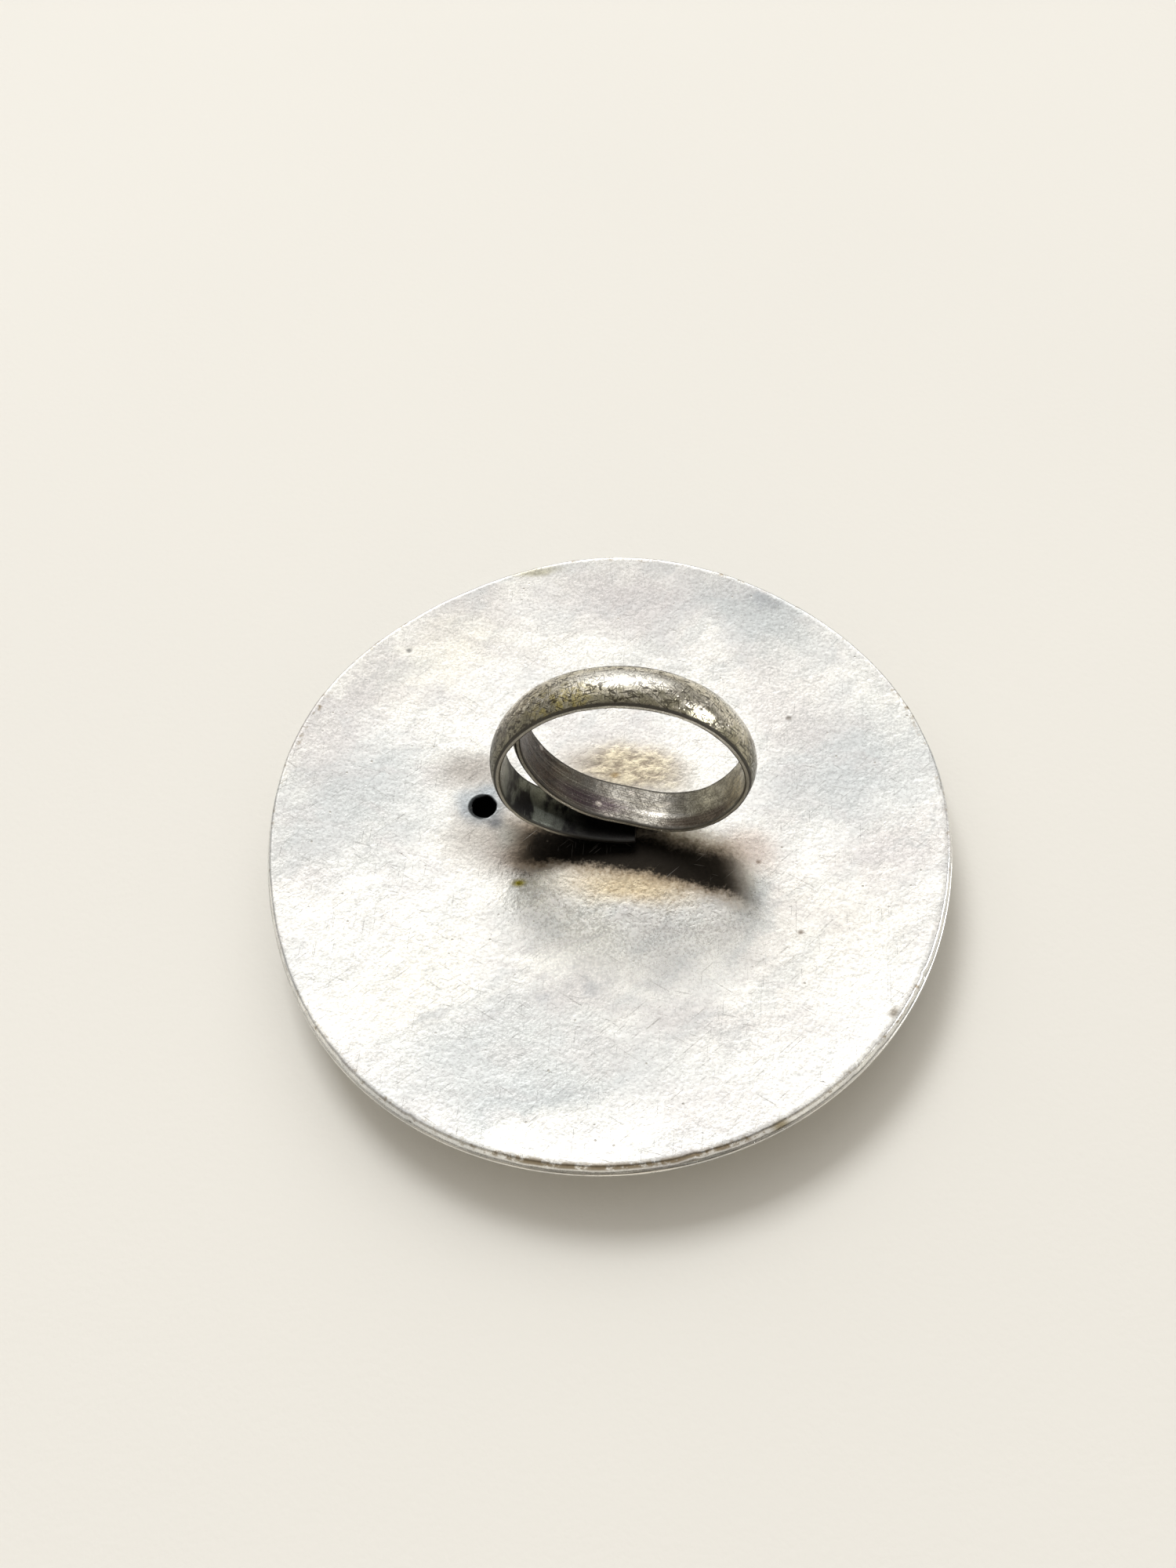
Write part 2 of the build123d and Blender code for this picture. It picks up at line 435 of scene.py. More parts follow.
def strip_piece(name, surface, low, high, material):
    """A length of the strip, from low to high degrees, whose end points and normals match the next one's."""
    degrees, points, normals, places = surface
    rows = np.flatnonzero((degrees >= low - 1e-6) & (degrees <= high + 1e-6))
    points, normals, places = points[rows], normals[rows], places[rows]
    count, around = points.shape[:2]
    obj = make_mesh(name, points, grid_faces(count, around, False), caps(count, around))
    mesh = obj.data
    shared = normals.reshape(-1, 3)
    first = np.array([polygon.normal for polygon in mesh.polygons[:4]])
    if (first * shared[:4]).sum() < 0:
        mesh.flip_normals()
    store(obj, "strip", places)
    mesh.normals_split_custom_set([tuple(shared[i] if polygon.use_smooth else polygon.normal)
                                   for polygon in mesh.polygons for i in polygon.vertices])
    obj.data.materials.append(material)
    return obj


def band():
    """The strip in three pieces: the legs ride on their bodies, and the crown piece lies between them."""
    surface = strip_surface()
    material = band_silver()
    degrees = surface[0]
    left = degrees[np.abs(degrees - CROWN_HALF).argmin()]
    right = degrees[np.abs(degrees + CROWN_HALF).argmin()]
    fixed = strip_piece("band_fixed_side", surface, left, 360, material)
    free = strip_piece("band_free_side", surface, -360, right, material)
    crown = strip_piece("band_crown", surface, right, left, material)
    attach(fixed, "head")
    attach(free, "free_leg")
    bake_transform(crown)
    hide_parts("band_fixed_leg")
    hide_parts("band_free_leg")


def foot_solder():
    """The puddle of solder under the foot, thickest along the line where the strip meets the plate."""
    columns, rings = 120, 36
    angle = circle_angles(columns)
    ragged = 1 + 0.07 * value_noise(angle * 3, angle * 0, 1.0, 71)
    ragged += 0.04 * value_noise(angle * 8, angle * 0, 1.0, 73)
    right, _, axis = band_axes()
    forward = np.array((axis[0], axis[1], 0.0))
    centre = BAND_CENTRE[:2] + np.array((-0.25, 0.0)) - 0.75 * forward[:2]
    rows = []
    for share in np.linspace(0.03, 1.0, rings):
        along = PUDDLE_HALF_LENGTH * share * ragged * np.cos(angle)
        across = PUDDLE_HALF_WIDTH * share * ragged * np.sin(angle)
        xy = centre + along[:, None] * right[:2] + across[:, None] * forward[:2]
        lift = PUDDLE_HEIGHT * (1 - share**2) ** 1.5 + 0.03 * cloud(*xy.T, 0.9, 77, 2) * (1 - share)
        rows.append(np.column_stack([xy, plate_height(*xy.T) + lift - 0.03]))
    skirt = rows[-1].copy()
    skirt[:, 2] -= PUDDLE_SKIRT
    rows.append(skirt)
    faces = grid_faces(len(rows), columns, False)
    obj = make_mesh("foot_fillet", np.array(rows), faces, caps(len(rows), columns))
    face_out(obj)
    obj.data.materials.append(dark_solder("foot_solder", (0.018, 0.016, 0.013), (0.11, 0.095, 0.075)))
    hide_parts("foot_solder")
    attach(obj, "head")


# ---------------------------------------------------------------- materials

class Shader:
    """A node material with short calls for the nodes used here. Positions are in millimetres."""

    def __init__(self, name, **inputs):
        self.material = bpy.data.materials.new(name)
        self.material.use_nodes = True
        self.tree = self.material.node_tree
        self.surface = self.tree.nodes["Principled BSDF"]
        for key, value in inputs.items():
            self.surface.inputs[key.replace("_", " ")].default_value = value

    def add(self, kind, inputs=(), **settings):
        node = self.tree.nodes.new(kind)
        for key, value in settings.items():
            setattr(node, key, value)
        for key, value in dict(inputs).items():
            self.put(node.inputs[key], value)
        return node

    def put(self, socket, value):
        if isinstance(value, bpy.types.NodeSocket):
            self.tree.links.new(value, socket)
        else:
            socket.default_value = value

    # Numbers

    def calc(self, operation, a, b=0.0):
        return self.add("ShaderNodeMath", {0: a, 1: b}, operation=operation).outputs[0]

    def chain(self, operation, values):
        total = values[0]
        for value in values[1:]:
            total = self.calc(operation, total, value)
        return total

    def times(self, *values):
        return self.chain("MULTIPLY", values)

    def plus(self, *values):
        return self.chain("ADD", values)

    def most(self, *values):
        return self.chain("MAXIMUM", values)

    def rest_of(self, share):
        return self.calc("SUBTRACT", 1.0, share)

    def fit(self, value, low, high, out_low=0.0, out_high=1.0):
        """A smooth step from out_low, where the value is low, to out_high. Low may be above high."""
        reach = {"Value": value, "From Min": low, "From Max": high, "To Min": out_low, "To Max": out_high}
        return self.add("ShaderNodeMapRange", reach, interpolation_type="SMOOTHSTEP").outputs[0]

    # Places

    def place(self):
        """Position in the piece, in millimetres."""
        where = self.add("ShaderNodeTexCoord").outputs["Object"]
        return self.scaled(where, (1000.0,) * 3)

    def scaled(self, vector, factors):
        return self.add("ShaderNodeVectorMath", {0: vector, 1: factors}, operation="MULTIPLY").outputs[0]

    def split(self, vector):
        return self.add("ShaderNodeSeparateXYZ", {0: vector}).outputs

    def length(self, vector):
        return self.add("ShaderNodeVectorMath", {0: vector}, operation="LENGTH").outputs["Value"]

    def shifted(self, vector, shift, reach):
        """The vector pushed about across the plate by a shift, as far as reach."""
        inputs = {0: shift, 1: (reach, reach, 0.0), 2: vector}
        return self.add("ShaderNodeVectorMath", inputs, operation="MULTIPLY_ADD").outputs[0]

    def mapped(self, vector, centre, scale, turn):
        """The vector seen from a frame with this centre, turn in degrees and scale."""
        inputs = {"Vector": vector, "Location": centre, "Rotation": (0.0, 0.0, math.radians(turn)),
                  "Scale": scale}
        return self.add("ShaderNodeMapping", inputs, vector_type="TEXTURE").outputs[0]

    # Patterns, from 0 to 1

    def noise(self, vector, size, detail=3.0, rough=0.55, distortion=0.0):
        inputs = {"Vector": vector, "Scale": 1.0 / size, "Detail": detail, "Roughness": rough,
                  "Distortion": distortion}
        return self.add("ShaderNodeTexNoise", inputs).outputs["Fac"]

    def cells(self, vector, size):
        """Distance from the nearest of many scattered points, over size."""
        return self.add("ShaderNodeTexVoronoi", {"Vector": vector, "Scale": 1.0 / size}).outputs["Distance"]

    def spot(self, vector, centre, radii, turn=0.0, core=0.35):
        """1 inside an ellipse's core and 0 outside the ellipse, with a soft edge between."""
        return self.fit(self.length(self.mapped(vector, (*centre, 0.0), (*radii, 1000.0), turn)), 1.0, core)

    def streaks(self, vector, turn, across, along, low, fade=0.05):
        """Noise drawn out along one direction, where it is above low."""
        drawn = self.mapped(vector, (0.0, 0.0, 0.0), (along, across, 1.0), turn)
        return self.fit(self.noise(drawn, 1.0, 1.0, 0.3), low, low + fade)

    def scratches(self, vector, kinds):
        """Fine straight marks of several kinds, each given as streaks takes them."""
        return self.most(*[self.streaks(vector, *kind) for kind in kinds])

    # Colours and surface

    def mix(self, share, a, b, blend="MIX"):
        node = self.add("ShaderNodeMix", data_type="RGBA", blend_type=blend)
        self.put(node.inputs["Factor"], share)
        self.put(node.inputs[6], a if not isinstance(a, tuple) else (*a, 1.0))
        self.put(node.inputs[7], b if not isinstance(b, tuple) else (*b, 1.0))
        return node.outputs[2]

    def tinted(self, color, tint, share, strength):
        """The color with a tint laid over a share of it."""
        return self.mix(self.times(share, strength), color, tint)

    def shaded(self, color, value):
        """The color made darker or brighter by a number."""
        grey = self.add("ShaderNodeCombineXYZ", {0: value, 1: value, 2: value}).outputs[0]
        return self.mix(1.0, color, grey, "MULTIPLY")

    def bump(self, height, distance, under=None):
        node = self.add("ShaderNodeBump", {"Height": height, "Distance": distance * MM, "Strength": 1.0})
        if under is not None:
            self.put(node.inputs["Normal"], under)
        return node.outputs[0]

    def finish(self, color, roughness, normal):
        self.put(self.surface.inputs["Base Color"], color)
        self.put(self.surface.inputs["Roughness"], roughness)
        self.put(self.surface.inputs["Normal"], normal)
        return self.material


# Tints of the back
CREAM = (0.93, 0.925, 0.89)
DULL_CREAM = (0.82, 0.82, 0.81)
COOL_GREY = (0.55, 0.58, 0.595)
PLAIN_GREY = (0.60, 0.61, 0.62)
LILAC = (0.62, 0.60, 0.605)
IVORY = (0.93, 0.88, 0.76)
SLATE = (0.40, 0.42, 0.45)
OLIVE = (0.30, 0.26, 0.03)
SCORCHED_BROWN = (0.25, 0.205, 0.15)
SCORCHED_OCHRE = (0.72, 0.645, 0.475)
ASH = (0.30, 0.27, 0.24)
VENT_HALO = (0.34, 0.365, 0.385)
# painted shadow of the rim on the vent's lip
VENT_LIP_SHADOW = (0.015, 0.017, 0.018)
FLECK_BROWN = (0.30, 0.22, 0.13)
FRINGE_BROWN = (0.27, 0.195, 0.115)
# painted reflection and shadow of the band, partly heat stain
STAIN_AND_REFLECTION_BLACK = (0.018, 0.0155, 0.013)
RIM_GRIME = (0.23, 0.17, 0.09)

# The smear's middle runs along y = -below - slope x - bend x^2, and is straight left of the foot
SMEAR_BELOW = 1.0
SMEAR_SLOPE = 0.20
SMEAR_BEND = 0.0215

# Patina on the back, and a painted reflection of the band: centre, radii (mm), turn (degrees), tint, strength
PATINA_AND_REFLECTION = [
    ((-20.0, 5.0), (8.5, 5.5), 30, COOL_GREY, 0.85),
    ((-19.0, 15.0), (5.5, 2.6), 48, LILAC, 0.75),
    ((-22.5, 9.5), (3.0, 4.5), 10, LILAC, 0.55),
    ((5.0, 22.5), (10.0, 4.0), -8, LILAC, 0.9),
    ((15.5, 19.0), (7.0, 4.0), -42, COOL_GREY, 0.95),
    ((16.0, 20.5), (1.6, 0.8), -35, SLATE, 0.7),
    ((16.5, 9.0), (9.0, 4.0), -60, LILAC, 0.65),
    ((21.0, 3.0), (8.5, 5.5), 10, COOL_GREY, 0.85),
    ((-10.0, -17.0), (10.5, 5.0), 12, COOL_GREY, 0.75),
    ((-6.0, -20.5), (11.0, 2.8), 5, COOL_GREY, 0.8),
    ((-14.5, -13.5), (1.4, 0.9), 20, SLATE, 0.5),
    ((-4.5, -13.5), (5.0, 2.2), 0, LILAC, 0.6),
    ((-6.5, -13.5), (0.9, 0.6), 0, SLATE, 0.4),
    ((-2.5, -13.5), (0.8, 0.6), 0, SLATE, 0.4),
    ((8.0, -17.0), (9.0, 2.4), -12, LILAC, 0.45),
    # painted reflection of the band: a cool grey arc below the black smear
    ((3.0, -9.4), (10.0, 2.9), -6, COOL_GREY, 0.24),
    ((-16.5, -11.0), (7.0, 3.5), 30, IVORY, 0.30),
    ((17.0, -11.0), (7.0, 6.0), 20, IVORY, 0.25),
    ((21.8, -4.8), (4.5, 3.4), 10, LILAC, 0.80),
    ((-9.0, -21.8), (5.0, 1.9), 12, COOL_GREY, 0.75),
    ((-12.0, 19.0), (6.0, 3.5), 35, IVORY, 0.40),
]
PATINA_SPREAD = 1.45           # patches are drawn this much wider, because they fade from their middles
PATINA_CORE = 0.08
# Heat stain, dirt and a painted reflection of the band, in the order that they are laid on: the same five
# values
STAINS_AND_REFLECTIONS = [
    ((-9.2, 1.6), (5.8, 4.8), 20, (0.44, 0.415, 0.385), 0.88),
    ((-10.2, 7.2), (4.8, 2.8), -8, (0.40, 0.375, 0.35), 0.85),
    ((-6.5, -0.5), (4.8, 3.6), 20, (0.24, 0.20, 0.17), 0.88),
    ((-9.55, 3.8), (2.3, 2.1), 0, (0.30, 0.34, 0.39), 0.85),
    ((11.2, -2.8), (3.6, 2.8), -30, (0.48, 0.40, 0.36), 0.72),
    ((10.9, -7.4), (2.1, 3.9), -15, (0.46, 0.49, 0.50), 0.62),
    ((2.0, 5.9), (8.0, 4.0), -14, (0.42, 0.37, 0.30), 0.80),
    # partly painted reflection of the band's warm inside, partly heat stain: a peach band below the black
    # smear
    ((1.6, -4.6), (8.4, 2.6), -12, (0.63, 0.52, 0.34), 0.85),
    ((-11.0, 4.6), (1.3, 1.5), 0, (0.52, 0.58, 0.64), 0.55),
    ((-9.55, 3.75), (1.48, 1.45), 0, (0.20, 0.225, 0.25), 0.90),
    ((-8.7, 2.2), (1.1, 0.9), 0, (0.12, 0.125, 0.14), 0.85),
    ((-7.7, 0.9), (1.8, 2.0), 0, (0.30, 0.31, 0.29), 0.60),
    ((-9.0, 5.2), (1.5, 0.9), 0, (0.40, 0.45, 0.50), 0.60),
    ((-11.1, 3.6), (0.7, 1.0), 0, (0.34, 0.37, 0.41), 0.70),
    ((-7.2, -3.4), (0.90, 0.52), 0, OLIVE, 1.0),
    ((1.4, 5.5), (0.6, 0.4), 0, (0.62, 0.40, 0.10), 0.9),
    ((16.3, 8.7), (0.42, 0.34), 0, (0.16, 0.14, 0.12), 0.8),
    ((14.0, -10.5), (0.40, 0.30), 0, (0.18, 0.14, 0.11), 0.8),
    ((11.8, -4.0), (0.35, 0.28), 0, (0.20, 0.15, 0.12), 0.8),
    ((-15.0, 19.5), (0.42, 0.34), 0, (0.18, 0.18, 0.18), 0.8),
    ((-3.5, 26.3), (3.5, 0.7), 0, (0.40, 0.38, 0.26), 0.7),
    ((10.0, -25.3), (1.1, 0.5), 12, (0.28, 0.22, 0.10), 0.8),
    ((19.5, -18.0), (0.8, 0.5), 45, (0.20, 0.17, 0.13), 0.8),
]
WIDE_STAIN = 1.5               # stains broader than this have cloudy edges
STAIN_CORE = 0.15


def patina(s, at, drawn, haze):
    """Creamy silver clouded with cool grey and lilac, and a painted reflection of the band as a cool grey arc
    below it.
    """
    color = s.mix(s.fit(haze, 0.40, 0.66), CREAM, DULL_CREAM)
    color = s.mix(s.fit(s.noise(at, 9.0, 3.0, 0.5), 0.5, 0.75, 0.0, 0.55), color, LILAC)
    for centre, radii, turn, tint, strength in PATINA_AND_REFLECTION:
        wider = [radius * PATINA_SPREAD for radius in radii]
        color = s.tinted(color, tint, s.spot(drawn, centre, wider, turn, PATINA_CORE), strength)
    for turn, low, tint in ((32, 0.46, COOL_GREY), (-18, 0.50, LILAC)):
        color = s.tinted(color, tint, s.streaks(drawn, turn, 1.5, 6.5, low, 0.26), 0.35)
    mottle = s.noise(at, 1.5, 4.0, 0.65)
    return s.mix(s.fit(mottle, 0.45, 0.75, 0.0, 0.28), color, PLAIN_GREY)


def burnt_patch(s, at, nudged, color):
    """The crusted patch of ochre and brown behind the foot, as a colour and a height."""
    burnt = s.spot(nudged, (2.9, 6.2), (6.2, 2.8), -18)
    crust = s.noise(s.scaled(at, (0.8, 1.35, 1.0)), 0.80, 5.0, 0.68, 0.5)
    scorched = s.mix(s.fit(crust, 0.38, 0.62), SCORCHED_BROWN, SCORCHED_OCHRE)
    left_end = s.spot(nudged, (-2.0, 8.0), (3.8, 2.2), -15)
    right_end = s.spot(nudged, (7.8, 5.0), (3.0, 2.0), -25)
    scorched = s.tinted(scorched, ASH, s.most(left_end, right_end), 0.9)
    return s.tinted(color, scorched, burnt, 0.8), s.times(crust, burnt)


def vent_halo_and_shadow(s, at, nudged, color):
    """A blue-grey halo round the vent, and a painted shadow of the rim as a dark ring on the hole's lip, set
    a little up and to the left.
    """
    x, y = VENT
    color = s.tinted(color, VENT_HALO, s.spot(nudged, (x - 0.2, y + 0.1), (2.9, 2.6), 0, 0.3), 0.55)
    # painted shadow of the rim on the hole's lip
    return s.tinted(color, VENT_LIP_SHADOW, s.spot(at, (x - 0.13, y + 0.06), (1.28, 1.25), 0, 0.86), 0.95)


def smear(s, at, nudged):
    """The black smear that starts under the foot and curves away to the right, painted reflection and shadow
    of the band and partly heat stain, and its brown fringe.
    """
    x, y, _ = s.split(nudged)
    past = s.most(x, 0.0)
    fall = s.plus(s.times(x, SMEAR_SLOPE), s.times(past, past, SMEAR_BEND))
    steep = s.plus(s.times(past, 2 * SMEAR_BEND), SMEAR_SLOPE)
    slant = s.calc("SQRT", s.plus(s.times(steep, steep), 1.0))
    away = s.calc("DIVIDE", s.plus(y, fall, SMEAR_BELOW), slant)
    for size, amount in ((1.6, 0.9), (0.32, 1.5)):
        ragged = s.calc("SUBTRACT", s.noise(at, size, 3.0, 0.7), 0.5)
        away = s.plus(away, s.times(ragged, amount))
    ends = s.times(s.fit(x, 11.9, 8.6), s.fit(x, -8.6, -5.6))
    # the black core: painted reflection and shadow of the band, partly heat stain
    black = s.times(s.fit(away, -2.20, -1.35), s.fit(away, 2.5, 0.6))
    fringe = s.times(s.fit(away, -3.2, -1.7), s.fit(away, 3.6, 1.4))
    return s.times(black, ends), s.times(fringe, ends)


def rim_grime(s, at):
    """Where grime sits: along the rim, most on the near side and on top of the edge."""
    rim = s.fit(s.length(s.scaled(at, (1.0, 1.0, 0.0))), 26.6, 27.0)
    near = s.spot(at, (-1.5, -27.0), (14.0, 3.5), 0, 0.5)
    darkening = s.fit(s.plus(s.noise(at, 0.8, 4.0, 0.7), s.times(near, 0.17)), 0.53, 0.68)
    height = s.split(at)[2]
    return s.times(rim, darkening, s.fit(height, 5.05, 5.3, 0.15, 1.0))


def back_silver():
    """Near-white satin silver: cloudy patina, heat stains near the foot and vent, a black smear from the foot
    that is painted reflection and shadow of the band and partly heat stain, painted reflections of the band
    below it, a painted shadow on the vent's lip, scratches and specks.
    """
    s = Shader("back_silver", Metallic=1.0)
    at = s.place()
    warp = s.add("ShaderNodeTexNoise", {"Vector": at, "Scale": 0.22, "Detail": 4.0, "Roughness": 0.6})
    inputs = {0: warp.outputs["Color"], 1: (0.5, 0.5, 0.5)}
    shift = s.add("ShaderNodeVectorMath", inputs, operation="SUBTRACT").outputs[0]
    drawn, nudged = s.shifted(at, shift, 7.0), s.shifted(at, shift, 2.0)
    haze = s.noise(at, 6.0, 5.0, 0.6, 0.4)
    grain = s.noise(at, 0.24, 2.0, 0.6)

    color = patina(s, at, drawn, haze)
    for centre, radii, turn, tint, strength in STAINS_AND_REFLECTIONS:
        ground = nudged if max(radii) > WIDE_STAIN else at
        color = s.tinted(color, tint, s.spot(ground, centre, radii, turn, STAIN_CORE), strength)
    color, crust = burnt_patch(s, at, nudged, color)
    color = vent_halo_and_shadow(s, at, nudged, color)
    black, brown = smear(s, at, nudged)
    under = s.spot(nudged, (2.5, -4.6), (9.0, 3.0), -14, 0.3)
    flecks = s.times(under, s.fit(s.noise(at, 0.30, 3.0, 0.7), 0.52, 0.60))
    color = s.tinted(color, FLECK_BROWN, flecks, 0.45)
    color = s.tinted(color, FRINGE_BROWN, brown, 0.75)
    # the black smear: painted reflection and shadow of the band, partly heat stain
    color = s.tinted(color, STAIN_AND_REFLECTION_BLACK, black, 0.985)
    color = s.shaded(color, s.fit(grain, 0.35, 0.65, 0.89, 1.06))

    scored = s.scratches(at, [(35, 0.07, 3.0, 0.74), (-20, 0.06, 2.2, 0.76), (80, 0.06, 2.6, 0.75),
                              (140, 0.08, 4.0, 0.77)])
    color = s.tinted(color, (0.38, 0.37, 0.35), scored, 0.45)
    specks = s.times(s.fit(s.cells(at, 1.15), 0.10, 0.05), s.fit(s.noise(at, 3.0, 2.0, 0.5), 0.50, 0.60))
    color = s.tinted(color, (0.28, 0.25, 0.20), specks, 0.6)
    grime = rim_grime(s, at)
    color = s.tinted(color, RIM_GRIME, grime, 0.85)

    roughness = s.plus(s.fit(haze, 0.3, 0.7, 0.22, 0.29), s.fit(grain, 0.3, 0.7, -0.02, 0.05),
                       s.times(s.most(grime, brown), 0.12))
    normal = s.bump(s.noise(at, 0.9, 3.0, 0.6), 0.026)
    normal = s.bump(grain, 0.010, normal)
    normal = s.bump(crust, 0.06, normal)
    normal = s.bump(s.most(scored, specks), -0.012, normal)
    return s.finish(color, roughness, normal)


def face_silver():
    """The face's hammered silver: clean and grey in clouds, a little browner in the mottle, scratched."""
    s = Shader("face_silver", Metallic=1.0)
    at = s.place()
    haze = s.noise(at, 5.0, 5.0, 0.6)
    mottle = s.noise(at, 1.2, 4.0, 0.65)
    color = s.mix(s.fit(haze, 0.4, 0.65), (0.88, 0.865, 0.82), (0.66, 0.66, 0.64))
    color = s.mix(s.fit(mottle, 0.5, 0.75, 0.0, 0.35), color, (0.48, 0.46, 0.41))
    scored = s.scratches(at, [(25, 0.07, 3.0, 0.73), (115, 0.07, 2.5, 0.75)])
    color = s.tinted(color, (0.35, 0.33, 0.3), scored, 0.4)
    normal = s.bump(s.noise(at, 0.25, 3.0, 0.6), 0.006)
    normal = s.bump(scored, -0.008, normal)
    return s.finish(color, s.fit(mottle, 0.3, 0.7, 0.20, 0.36), normal)


def oxide():
    """The unpolished black inside of the head."""
    s = Shader("inner_oxide", Metallic=0.0)
    murk = s.noise(s.place(), 1.0, 4.0, 0.6)
    color = s.mix(murk, (0.012, 0.011, 0.010), (0.035, 0.031, 0.027))
    return s.finish(color, s.fit(murk, 0.2, 0.8, 0.8, 0.95), s.bump(murk, 0.03))


def dark_solder(name, dark, pale):
    """Solder left rough, stained with flux and dirt."""
    s = Shader(name, Metallic=0.85)
    at = s.place()
    crust = s.noise(at, 0.5, 5.0, 0.65)
    color = s.mix(s.fit(crust, 0.35, 0.65), dark, pale)
    color = s.mix(s.fit(s.noise(at, 2.2, 3.0, 0.5), 0.5, 0.7, 0.0, 0.6), color, (0.20, 0.17, 0.07))
    return s.finish(color, s.fit(crust, 0.3, 0.7, 0.42, 0.62), s.bump(crust, 0.05))


# Tints of the band
WORN_PALE = (0.86, 0.815, 0.71)
WORN_DULL = (0.60, 0.56, 0.45)
TARNISH_BROWN = (0.13, 0.10, 0.065)
OLIVE_SHADE = (0.26, 0.24, 0.165)
TARNISH_YELLOW = (0.52, 0.43, 0.12)
LOW_LEFT_DARK = (0.045, 0.037, 0.026)
CROWN_HIGHLIGHT_WHITE = (0.96, 0.94, 0.88)
INSIDE_PALE = (0.53, 0.50, 0.39)
INSIDE_DARK = (0.21, 0.19, 0.14)
BOTTOM_PALE = (0.275, 0.265, 0.245)
BOTTOM_DARK = (0.155, 0.145, 0.13)
BOTTOM_HIGHLIGHT = (0.66, 0.64, 0.60)
UMBER_DARK = (0.025, 0.016, 0.012)
UMBER_PALE = (0.072, 0.048, 0.034)
TAIL_PURPLE = (0.060, 0.035, 0.052)
RUST = (0.075, 0.050, 0.036)
BRUSHED = (0.52, 0.49, 0.41)
PALE_SPOT = (0.72, 0.66, 0.60)
FOOT_DARK = (0.035, 0.034, 0.036)
FOOT_PALE = (0.29, 0.31, 0.27)
FOOT_SHADOW = (0.020, 0.020, 0.020)
EDGE_HIGHLIGHT = (0.96, 0.92, 0.82)
CORNER_SHADE = (0.030, 0.026, 0.020)
MARK_DIRT = (0.045, 0.038, 0.028)


def band_outside(s, at, strip, mottle, low_left, crown_highlight):
    """Warm grey, with painted olive shade towards the wearer's edge and a painted highlight along the crown;
    yellow left of the crown, brown, and darkened to near-black down the left leg and towards the wearer's
    edge.
    """
    along, across, _ = s.split(strip)
    color = s.mix(s.fit(mottle, 0.38, 0.62), WORN_PALE, WORN_DULL)
    brown = s.times(s.fit(along, 3.0, 8.0), s.fit(s.noise(at, 0.5, 4.0, 0.75), 0.40, 0.54))
    color = s.tinted(color, TARNISH_BROWN, brown, 0.85)
    # darker, nearly black, down the left leg and towards the wearer's edge
    color = s.tinted(color, LOW_LEFT_DARK, low_left, s.fit(mottle, 0.60, 0.42, 0.70, 1.0))
    # painted shade: the dome's half towards the wearer's edge turns dark olive
    shade = s.plus(across, s.fit(s.noise(at, 0.9, 4.0, 0.7), 0.25, 0.75, -0.8, 0.8))
    color = s.mix(s.fit(shade, 0.35, 1.5, 0.0, 0.88), color, OLIVE_SHADE)
    # painted highlight: a pale spot along the crown
    color = s.tinted(color, CROWN_HIGHLIGHT_WHITE, crown_highlight, 0.9)
    yellow = s.times(s.fit(s.noise(at, 0.6, 4.0, 0.75), 0.44, 0.60), s.fit(across, -1.0, 0.4),
                     s.fit(along, 0.8, 3.0), s.fit(along, 7.5, 4.5))
    return s.tinted(color, TARNISH_YELLOW, yellow, 0.6)


def band_inside(s, at, strip, mottle, foot):
    """Olive grey on the right, silvery at the bottom with a painted highlight streak, umber and purple up the
    tail, blotched at the foot.
    """
    along = s.split(strip)[0]
    color = s.mix(s.fit(mottle, 0.38, 0.64), INSIDE_PALE, INSIDE_DARK)
    silvery = s.mix(s.fit(mottle, 0.38, 0.64), BOTTOM_PALE, BOTTOM_DARK)
    bottom = s.times(s.fit(along, -20.5, -24.0), s.fit(along, -34.0, -30.0))
    color = s.mix(bottom, color, silvery)
    # painted highlight: a bright streak along the inside of the bottom
    color = s.tinted(color, BOTTOM_HIGHLIGHT, s.spot(strip, (-24.6, 0.55), (3.6, 0.36), 0, 0.3), 0.7)
    umber = s.mix(s.fit(mottle, 0.38, 0.62), UMBER_DARK, UMBER_PALE)
    color = s.mix(s.fit(along, -28.0, -35.0), color, umber)
    color = s.tinted(color, TAIL_PURPLE, s.spot(strip, (-30.5, 0.6), (4.5, 1.3), 0, 0.3), 0.75)
    color = s.tinted(color, RUST, s.spot(strip, (-20.5, 1.2), (5.0, 0.85), 0, 0.4), 0.85)
    brushed = s.noise(s.scaled(at, (0.10, 9.0, 1.0)), 1.0, 2.0, 0.5)
    color = s.mix(s.fit(brushed, 0.45, 0.72, 0.0, 0.36), color, BRUSHED)
    pale = s.times(s.fit(s.cells(at, 1.5), 0.24, 0.10), s.fit(s.noise(at, 4.0, 1.0, 0.5), 0.46, 0.56))
    color = s.tinted(color, PALE_SPOT, pale, 0.6)
    blotches = s.fit(s.noise(s.scaled(at, (0.55, 0.26, 1.0)), 1.0, 4.0, 0.60, 0.3), 0.42, 0.56)
    blotches = s.times(blotches, s.fit(along, 25.5, 20.0))
    return s.mix(foot, color, s.mix(blotches, FOOT_DARK, FOOT_PALE))


